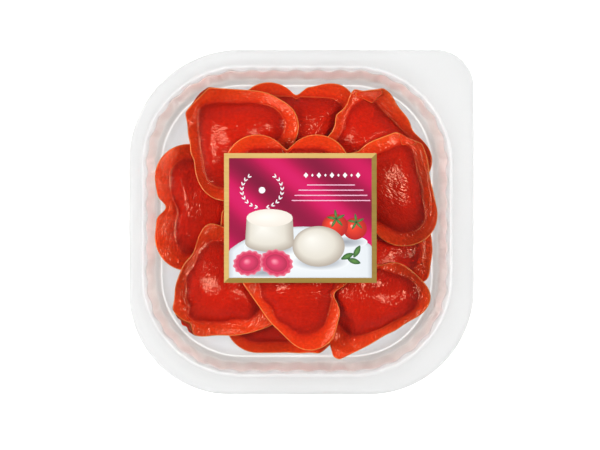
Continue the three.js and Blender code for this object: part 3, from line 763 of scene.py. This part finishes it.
class Heart:
    """One heart: its outlines round its centre, and the height of its dough above the sheet that
    it rests on. Points of its plan are in its own frame, tip at the origin."""

    def __init__(self, name, spec, seed):
        self.name = name
        self.spec = {**USUAL, **spec}
        self.seed = seed
        edge = dense(heart_outline(self.spec["fold"]))
        self.angles = np.unwrap(polar(evenly(edge, SPOKES), HEART_CENTRE)[0])
        self.toward = unit(self.angles)
        self.edge = soften(reach(edge, HEART_CENTRE, self.angles)) + self.marks("edge")
        self.foot = soften(reach(dome_outline(), HEART_CENTRE, self.angles), 3.0) + self.marks("foot")
        self.foot = np.minimum(self.foot, self.edge - NARROWEST_FLANGE)
        self.inner = broad(self.angles, self.foot)
        self.curl = CURL + self.marks("curl") + CURL_WAVER * swell(self.toward, 0.5, 2, seed + 60)
        self.ridge = RIDGE + self.marks("ridge")
        # The warm marks: painted light on the flange, or painted shade where they are negative.
        self.warm = self.marks("warm")

    def marks(self, key):
        return around(self.angles, self.spec.get(key, ()))

    def placed(self, local):
        """Points of the plan where they lie in the tray."""
        stretched = local * np.array([self.spec["width"], self.spec["length"]])
        return turned(stretched, self.spec["heading"] - 90) + np.array(self.spec["tip"])

    def spread(self, radius):
        """The points of the plan at a radius on each spoke."""
        return HEART_CENTRE + self.toward * radius[:, None]

    def dome_ring(self, share):
        """The radius at a share of the way to the foot: the nearer the crown, the rounder."""
        return share * (self.foot + (self.inner - self.foot) * (1 - share**2))

    def folded(self, local):
        """1 where the tip is folded under, 0 elsewhere."""
        low = self.spec["fold"] + FOLD_REACH - FOLD_BLEND / 2
        return (1 - smoothstep(low, low + FOLD_BLEND, local[:, 1])) * ("flap" not in self.spec)

    def zone(self, local):
        """The zone: 0 at the crown, 1 at the dome's foot and 2 at the edge. With it go the shares
        of the way over the dome and across the flange, the distance outside the foot, and how
        much the flange curls and rises in a ridge."""
        angles, radii = polar(local, HEART_CENTRE)
        foot, edge, inner, curl, ridge = (
            np.interp(angles, self.angles, values, period=tau)
            for values in (self.foot, self.edge, self.inner, self.curl, self.ridge)
        )
        share = radii / foot
        for _ in range(5):
            share = radii / (foot + (inner - foot) * np.clip(1 - share**2, 0, 1))
        across = np.clip((radii - foot) / (edge - foot), 0, 1)
        zone = np.where(across > 0, 1 + across, np.minimum(share, 1))
        return zone, share, across, radii - foot, curl, ridge

    def top(self, local):
        """The height of the top of the dough above the sheet."""
        _, share, across, out, curl, ridge = self.zone(local)
        dome = DOME_HEIGHT * (1 - share**DOME_FULLNESS)
        flange = (DOUGH_EDGE - DOUGH_FOOT) * across + curl * across**2
        flange += FOLD_THICKNESS * self.folded(local) * smoothstep(0.1, 0.5, across)
        flange -= GROOVE * hump(out, GROOVE_SPREAD)
        flange += ridge * hump(out - RIDGE_AT, RIDGE_SPREAD)
        height = DOUGH_FOOT + flange + FOOT_BLEND * np.logaddexp(0, (dome - flange) / FOOT_BLEND)
        for size, shortest, longest, seed in UNEVENNESS:
            height += size * swell(local, shortest, longest, self.seed + seed)
        for spread, size, *path in self.spec.get("relief", ()):
            height += size * hump(gap_to(local, path), spread)
        return height

    def bottom(self, local):
        """The height of the underside above the sheet: it leaves it where the flange curls."""
        _, _, across, _, curl, _ = self.zone(local)
        return curl * across**2

    def sheet(self):
        """The smooth sheet through the underside of this heart's CAD solid."""
        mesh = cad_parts[self.name].data
        corners = [vertex.co for vertex in mesh.vertices]
        tree = BVHTree.FromPolygons(corners, [face.vertices[:] for face in mesh.polygons])
        local = [HEART_CENTRE]
        for share, step in ((0.25, 32), (0.5, 8), (0.72, 8), (0.86, 8), (0.97, 8)):
            local += list(self.spread(self.edge * share)[::step])
        points, heights = [], []
        for x, y in self.placed(np.array(local)):
            hit = tree.ray_cast(Vector((x * MM, y * MM, -1)), Vector((0, 0, 1)))
            if hit[0] is not None:
                points.append((x, y))
                heights.append(hit[0].z / MM)
        return thin_plate(np.array(points), np.array(heights), PLATE_SOFTNESS)


class Dough(Bodies):
    """The bodies of one heart's dough."""

    def __init__(self, heart):
        super().__init__()
        self.heart = heart
        self.sheet = heart.sheet()
        self.zones, self.cuts, self.locals, self.rings = [], [], [], []

    def ring(self, local, lift, zone, cut):
        """Adds a ring, lifted from the sheet. Its cut value is how far it is painted light orange: on the
        cut edge the dough's own paler colour, made lighter still as painted light, and along the crease at
        the dome's foot a painted glint.
        """
        flat = self.heart.placed(local)
        self.rings.append(lifted(flat, self.sheet(flat) + lift))
        self.zones.append(np.broadcast_to(zone, len(local)))
        self.cuts.append(np.broadcast_to(cut, len(local)))
        self.locals.append(local)

    def close(self, centre, crown, base, zone):
        """Ends a body whose rings run from its top over its edge to its underside."""
        place = self.heart.placed(centre[None])
        ground = self.sheet(place)[0]
        self.body([*place[0], ground + crown], self.rings, [*place[0], ground + base])
        for values, pole in ((self.zones, zone), (self.cuts, 0.0), (self.locals, centre)):
            values.insert(-len(self.rings), [pole])
            values.append([pole])
        self.rings = []

    def finish(self, material):
        heart = self.heart
        flat = turned(np.concatenate(self.locals), heart.spec["grain"])
        return piece(
            heart.name.replace("raviolo", "heart"),
            np.concatenate(self.vertices),
            self.faces,
            [material],
            zone=np.concatenate(self.zones),
            cut=np.concatenate(self.cuts),
            grain=lifted(flat, GRAIN_APART * heart.seed) * MM,
            tone=np.full(len(flat), heart.spec["tone"]),
        )


def build_heart(heart, material):
    """The dome and its flange, the cut edge, the underside and, on some, the tip folded over."""
    dough = Dough(heart)

    def skin(radius):
        """A ring of the top, with the look that its place gives it."""
        local = heart.spread(radius)
        zone, _, across, out, _, ridge = heart.zone(local)
        # A painted glint: light orange along the ridge just outside the dome's foot.
        crease_glint = np.clip(0.4 * ridge, 0, 0.15) * hump(out - RIDGE_AT, RIDGE_SPREAD)
        dough.ring(local, heart.top(local), zone + heart.warm * across, crease_glint)

    for step in range(1, DOME_RINGS + 1):
        skin(heart.dome_ring(sin(0.5 * pi * step / DOME_RINGS) ** 1.1))
    for step in range(1, FLANGE_RINGS + 1):
        skin(heart.foot + (step / FLANGE_RINGS) ** 1.1 * (heart.edge - EDGE_ROUND - heart.foot))

    # The cut edge: rounded on top, with two layers where the tip is folded under.
    rim = heart.top(heart.spread(heart.edge - EDGE_ROUND))
    base = heart.bottom(heart.spread(heart.edge))
    fold = heart.folded(heart.spread(heart.edge))
    for turn in (30, 60, 90):
        out, down = bent(turn)
        local = heart.spread(heart.edge - EDGE_ROUND * (1 - out))
        # The edge is painted lighter the more it faces outwards: painted light on its side, which gets
        # less light.
        dough.ring(local, rim - EDGE_ROUND * down, 2.0 + heart.warm, 0.3 + 0.7 * out**2)
    under = heart.marks("under")
    middle = base + (rim - base) * 0.5
    # Zones near 1 take the ramp's painted shade at the dome's foot, so the middle of the edge's side, the
    # seam of the fold and the near part of the under layer are painted darker.
    for out, lift, zone, cut in (
        (-0.5 * fold, middle, 1.0, 0.3),
        (0.5 * under, middle - 0.1, 0.94, 0.0),
        (0.85 * under, middle - 0.3, 1.08, 0.0),
        (under, base + 0.5, 1.5, 0.5),
        (-0.4, base + 0.02, 2.0, 0.3),
    ):
        dough.ring(heart.spread(heart.edge + out), lift, zone, cut)
    for share in (0.9, 0.75, 0.55, 0.3, 0.12):
        local = heart.spread(heart.edge * share)
        dough.ring(local, heart.bottom(local), 2.0, 0.0)
    dough.close(HEART_CENTRE, heart.top(HEART_CENTRE[None])[0], 0.0, 0.0)
    if "flap" in heart.spec:
        build_flap(heart, dough)
    made = dough.finish(material)
    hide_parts(heart.name)
    return made


def build_flap(heart, dough):
    """The tip folded back over the heart: a soft triangle whose fold lies along the edge."""
    half, length, lean = heart.spec["flap"]
    fold = heart.spec["fold"]
    corners = np.array([(-half, 0.2), (half, 0.2), (lean, length)]) + (0, fold)
    centre = corners.mean(axis=0)
    inside = centre + (corners - centre) * 0.72
    radius = 0.28 * np.min(np.hypot(*(corners - centre).T))
    outline = []
    for before, corner, after in zip(np.roll(inside, 1, axis=0), inside, np.roll(inside, -1, axis=0)):
        (first, last), _ = polar(np.array([corner - before, after - corner]), (0, 0))
        start = first - pi / 2
        outline.append(arc(corner, radius, start, start + (last - first) % tau, 12))
    outline = evenly(dense(np.concatenate(outline)), 96)
    toward = outline - centre
    # The flap's edge is painted lighter, as the heart's cut edge is: partly painted light.
    for share, lift, cut in (
        (0.25, 1.0, 0.0), (0.5, 1.0, 0.0), (0.75, 1.0, 0.0), (0.87, 0.96, 0.0),
        (0.94, 0.86, 0.2), (0.98, 0.6, 0.7), (1.0, 0.25, 0.5), (0.98, -0.1, 0.2), (0.6, -0.2, 0.0),
    ):
        local = centre + toward * share
        dough.ring(local, heart.top(local) + FLAP_THICKNESS * lift, 1.3, cut)
    crown = heart.top(centre[None])[0]
    dough.close(centre, crown + FLAP_THICKNESS, crown - 0.3, 1.3)


# ---- film and label

LABEL_CENTRE = (LABEL_LOW + LABEL_HIGH)[:2] / 2
LABEL_HALF = (LABEL_HIGH - LABEL_LOW)[:2] / 2
CARD_TOP = LABEL_HIGH[2] - 0.1  # the print lies on it
FRAME_WIDTH = 2.55
FRAME_LEVEL = 14
PRINT_STEP = 0.006

# The inks: each runs through its stops from the light spot of a field to the field's edge.
INKS = {
    "plate": [(0.0, 0.83, 0.86, 0.88), (0.93, 0.72, 0.76, 0.79), (1.0, 0.5, 0.53, 0.57)],
    "cheese": [(0.0, 0.86, 0.84, 0.78), (0.7, 0.7, 0.66, 0.58), (1.0, 0.42, 0.36, 0.3)],
    "cheese_top": [(0.0, 0.9, 0.87, 0.81), (1.0, 0.8, 0.74, 0.66)],
    "tomato": [(0.0, 0.95, 0.5, 0.4), (0.18, 0.85, 0.05, 0.02), (1.0, 0.42, 0.01, 0.01)],
    "leaf": [(0.0, 0.12, 0.28, 0.06), (1.0, 0.03, 0.1, 0.03)],
    "dough": [(0.0, 0.75, 0.04, 0.13), (0.8, 0.6, 0.03, 0.1), (1.0, 0.78, 0.2, 0.28)],
    "filled": [(0.0, 0.9, 0.3, 0.4), (0.4, 0.68, 0.04, 0.13), (1.0, 0.42, 0.02, 0.07)],
    "white": [(0.0, 0.88, 0.87, 0.88), (1.0, 0.85, 0.83, 0.85)],
    "pink": [(0.0, 0.82, 0.45, 0.6), (1.0, 0.8, 0.42, 0.57)],
    "shade": [(0.0, 0.3, 0.32, 0.36), (0.6, 0.5, 0.53, 0.57), (1.0, 0.8, 0.83, 0.85)],
}


class Print(Bodies):
    """The label: a card with its frame and each printed field as a thin body of its own colour."""

    def __init__(self):
        super().__init__()
        self.slots, self.tones, self.materials = [], [], []
        self.inks = {name: printed(f"{name}_print", stops) for name, stops in INKS.items()}
        self.inks["card"] = card_material()
        self.inks["satin"] = satin_material()
        self.inks["gold_light"] = gold_material("gold_light", (0.66, 0.42, 0.11, 1), (0.84, 0.57, 0.2, 1))
        self.inks["gold_dark"] = gold_material("gold_dark", (0.30, 0.185, 0.035, 1), (0.42, 0.27, 0.06, 1))

    def field(self, ink, outline, level, centre=None, light=None, sink=0.05, rings=(0.35, 0.65, 0.85)):
        """A body over a star-shaped outline. Its tone runs from 0 at the light spot to 1 at the edge,
        and it reaches down into the card."""
        material = self.inks[ink]
        outline = np.asarray(outline, float)
        centre = outline.mean(axis=0) if centre is None else np.array(centre, float)
        light = centre if light is None else np.array(light, float)
        top = CARD_TOP + level * PRINT_STEP
        shares = (*rings, 1.0)
        layers = [lifted(light + (outline - light) * share, top) for share in shares]
        layers.append(lifted(outline, CARD_TOP - sink))
        count = self.body([*light, top], layers, [*centre, CARD_TOP - sink])
        if material not in self.materials:
            self.materials.append(material)
        self.slots += [self.materials.index(material)] * count
        self.tones += [0.0, *np.repeat((*shares, 1.0), len(outline)), 1.0]

    def finish(self, name):
        vertices = np.concatenate(self.vertices) + [*LABEL_CENTRE, 0]
        return piece(name, vertices, self.faces, self.materials, self.slots, smooth=False, tone=self.tones)


def oval(centre, radii, lean=0, count=48, pointed=0.0):
    """An oval, or a leaf with pointed ends along its length."""
    turn = np.linspace(0, tau, count, endpoint=False)
    wide = np.sin(turn) * (1 - pointed * np.cos(turn) ** 2)
    return turned(np.stack([radii[0] * np.cos(turn), radii[1] * wide], axis=1), lean) + np.array(centre)


def oblong(half, corner, centre=(0, 0)):
    return rounded(np.array(half), [corner] * 4, centre, count=8)


def clipped(outline, low, high):
    """A convex outline kept inside an upright rectangle."""
    return np.clip(dense(outline, 1.0), low, high)


def print_frame(card):
    """Four mitred bars: the upper and left ones are lighter."""
    inner = LABEL_HALF - FRAME_WIDTH
    signs = np.array([(1, -1), (1, 1), (-1, 1), (-1, -1)])
    for k, shade in enumerate(("gold_dark", "gold_light", "gold_light", "gold_dark")):
        start, end = signs[k], signs[(k + 1) % 4]
        bar = [start * LABEL_HALF, end * LABEL_HALF, end * inner, start * inner]
        card.field(shade, bar, FRAME_LEVEL, sink=0.02, rings=(0.5, 0.9))


def print_tomato(card, centre, radius, level):
    """A round tomato with a star of five leaves."""
    x, y = centre
    light = (x - radius * 0.3, y + radius * 0.25)
    card.field("tomato", oval(centre, (radius, radius * 0.93)), level, light=light)
    crown = np.array([x + radius * 0.1, y + radius * 0.55])
    for k in range(5):
        lean = 25 + 72 * k
        tip = crown + turned(np.array([radius * 0.34, 0]), lean)
        card.field("leaf", oval(tip, (radius * 0.4, radius * 0.11), lean, 16, 0.5), level + 1 + k % 2)


def print_wreath(card, centre, radii):
    """Two rows of leaves that run up from the foot of an oval and leave its top open."""
    for side in (-1, 1):
        for k in range(9):
            bearing = -90 + side * (12 + 15.5 * k)
            turn = radians(bearing)
            where = np.array(centre) + (radii[0] * cos(turn), radii[1] * sin(turn))
            lean = bearing + side * 90
            for splay in (-28, 28):
                leaf = where + turned(np.array([0.9, 0]), lean + splay)
                card.field("white", oval(leaf, (1.15, 0.36), lean + splay, 12, 0.5), 3, rings=(0.6,))


def print_lozenges(card, centre, count, pitch, size):
    """A row of large and small lozenges by turns."""
    for k in range(count):
        middle = np.array(centre) + ((k - (count - 1) / 2) * pitch, 0)
        corners = np.array([(0.8, 0), (0, 1), (-0.8, 0), (0, -1)]) * size * (0.55 if k % 2 else 1.0)
        card.field("white", middle + corners, 3, rings=(0.6,))


def print_drum(card, centre, half, height):
    """A round cheese standing up: its side and its top."""
    x, y = centre
    upper, rim = y + height, half * 0.94
    side = np.concatenate([oval((x, y), (half, half * 0.36))[24:], [(x + rim, upper), (x - rim, upper)]])
    card.field("cheese", side, 4, centre=(x, y + height * 0.5), light=(x - half * 0.3, y + height * 0.6))
    card.field("cheese_top", oval((x, upper), (rim, half * 0.36)), 5, light=(x - half * 0.2, upper + 0.5))


def print_pillow(card, centre, half, level, lean):
    """A round filled pasta with a scalloped edge."""
    turn = np.linspace(0, tau, 96, endpoint=False)
    scallops = half * (1 + 0.045 * np.cos(14 * turn))
    edge = np.stack([scallops * np.cos(turn), scallops * 0.8 * np.sin(turn)], axis=1)
    card.field("dough", turned(edge, lean) + centre, level, centre=centre)
    inside = oval(centre, (half * 0.66, half * 0.52), lean)
    card.field("filled", inside, level + 1, light=centre + (-1.2, 1.0))


def build_label():
    """A generic design without words: cheeses, tomatoes and pasta on a board, before satin."""
    card = Print()
    inner = LABEL_HALF - FRAME_WIDTH
    card.field("card", oblong(LABEL_HALF - 0.05, 0.5), 0, sink=CARD_TOP - LABEL_LOW[2])
    card.field("satin", oblong(inner + 0.1, 0.2), 1)
    print_frame(card)

    table = clipped(oval((1.5, -33), (47, 28.5), count=120), -inner - 0.1, inner + 0.1)
    card.field("plate", table, 2, centre=(1.5, -22))
    print_drum(card, (-16.0, -13.0), 12.8, 13.0)
    shadows = ((-14.5, -15.5, 15.0), (10.5, -23.0, 15.0), (24.0, -12.5, 11.0), (-19.0, -29.0, 13.0))
    for x, y, half in shadows:
        card.field("shade", clipped(oval((x, y), (half, half * 0.3)), -inner, inner), 3)
    print_tomato(card, (28.5, -5.6), 6.2, 4)
    print_tomato(card, (18.0, -4.2), 6.8, 7)
    card.field("cheese", oval((9.5, -14.8), (13.6, 10.6)), 10, light=(5.5, -10.8))
    for x, lean, half, level in ((-27.0, 12, 8.0, 6), (-12.5, -14, 8.6, 8)):
        print_pillow(card, np.array([x, -23.5]), half, level, lean)
    for x, y, lean in ((24.5, -20.0, 24), (29.5, -17.5, 62), (28.0, -22.5, -18)):
        card.field("leaf", oval((x, y), (3.6, 1.5), lean, 24, 0.45), 5)

    print_wreath(card, (-20, 14.5), (10.5, 9.2))
    card.field("white", oval((-20, 14.5), (1.7, 1.7), 0, 24), 3, rings=(0.6,))
    print_lozenges(card, (16.5, 22.3), 9, 3.4, 1.5)
    for k, half in enumerate((12.5, 17.0, 19.0, 20.5)):
        card.field("pink", oblong((half, 0.28), 0.2, (16.0, 17.2 - 2.7 * k)), 3, rings=(0.8,))
    return card.finish("label_card")


def printed(name, stops):
    """Ink on card: its tone, with a fine uneven grain."""
    n = Nodes(name)
    grain = n.noise(n.place(), 900.0, detail=2.0)
    tone = n.ramp(n.attribute("tone"), stops)
    faint = n.mix(n.math("MULTIPLY", grain, 0.12), tone, grey(0.5), "OVERLAY")
    return n.surface(Base_Color=faint, Roughness=0.38, Normal=n.bump(grain, 0.05, 0.0001))


def card_material():
    n = Nodes("card")
    fibre = n.noise(n.place(), 1200.0)
    return n.surface(Base_Color=n.mix(fibre, grey(0.7), grey(0.82)), Roughness=0.6)


def gold_material(name, first, last):
    """Gold ink, brushed along the label."""
    n = Nodes(name)
    where = n.add("ShaderNodeMapping", {"Vector": n.place(), "Scale": (40.0, 900.0, 1.0)}).outputs[0]
    brushed = n.noise(where, 1.0, detail=2.0)
    return n.surface(
        Base_Color=n.mix(brushed, first, last),
        Metallic=0.25,
        Roughness=0.38,
        Normal=n.bump(brushed, 0.15, 0.0001),
    )


def satin_material():
    """Magenta satin, printed: soft folds that sweep across from the upper left."""
    n = Nodes("satin_print")
    slant = {"Vector": n.place(), "Rotation": (0, 0, radians(52)), "Scale": (1.0, 2.2, 1.0)}
    where = n.add("ShaderNodeMapping", slant, vector_type="TEXTURE").outputs[0]
    sweep = n.bands(where, "X", Scale=12.0, Distortion=5.0, Detail=1.0, Detail_Scale=0.5)
    drift = n.noise(where, 36.0, detail=1.0)
    folds = n.math("ADD", n.math("MULTIPLY", sweep, 0.4), n.math("MULTIPLY", drift, 0.6))
    satin = n.ramp(folds, [
        (0.18, 0.20, 0.004, 0.035),
        (0.42, 0.38, 0.004, 0.06),
        (0.58, 0.56, 0.005, 0.09),
        (0.82, 0.70, 0.012, 0.15),
    ])
    return n.surface(Base_Color=satin, Roughness=0.4, Specular_IOR_Level=0.3)


# ---- stage

def softbox(name, place, size, power, mirrored=True):
    """A soft light, in metres and watts, that faces the tray. The fill lights aren't mirrored."""
    data = bpy.data.lights.new(name, "AREA")
    data.shape = "RECTANGLE"
    data.size, data.size_y = size
    data.energy = power
    light = linked(name, data)
    light.location = place
    light.visible_glossy = mirrored
    aim = Vector((0, 0, 0.02)) - Vector(place)
    light.rotation_euler = aim.to_track_quat("-Z", "Y").to_euler()


def build_stage():
    """A plain floor and soft light. The dough doesn't mirror the floor: that would veil its gloss."""
    half = 4000.0  # millimetres
    corners = [(-half, -half, 0), (half, -half, 0), (half, half, 0), (-half, half, 0)]
    floor = piece("floor", corners, [(0, 1, 2, 3)], [floor_material()], smooth=False)
    floor.visible_glossy = False

    softbox("softbox_left", (-1.0, 0.1, 0.95), (0.46, 0.84), 17)
    softbox("softbox_right", (0.85, 0.05, 1.05), (0.42, 0.54), 10.5)
    softbox("softbox_top", (0.05, 1.0, 1.1), (0.25, 0.16), 1.0, mirrored=False)
    softbox("softbox_bottom", (-0.1, -1.0, 1.1), (0.22, 0.14), 1.0, mirrored=False)

    world = bpy.data.worlds.new("studio")
    world.use_nodes = True
    background = world.node_tree.nodes["Background"]
    background.inputs["Color"].default_value = grey(1.0)
    background.inputs["Strength"].default_value = 0.13
    bpy.context.scene.world = world
    bpy.context.scene.view_settings.view_transform = "Standard"


def build_camera():
    data = bpy.data.cameras.new("camera")
    data.sensor_width = SENSOR_WIDTH
    data.lens = SENSOR_WIDTH * (CAMERA_HEIGHT - TRAY_HEIGHT) / FIELD_WIDTH
    data.clip_end = 20.0
    camera = linked("camera", data)
    camera.location = np.array([*FIELD_CENTRE, CAMERA_HEIGHT]) * MM
    bpy.context.scene.camera = camera


# ---- assembly

build_camera()
build_stage()

tray = build_tray(tray_material())
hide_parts("tray")
tray.visible_glossy = False
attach(tray, "root")

pasta = pasta_material()
for number, (name, spec) in enumerate(HEARTS.items(), start=1):
    made = build_heart(Heart(name, spec, number), pasta)
    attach(made, "root")

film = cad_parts["lid_film"]
film.data.materials.clear()
film.data.materials.append(film_material())

label = build_label()
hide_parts("label")
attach(label, "root")
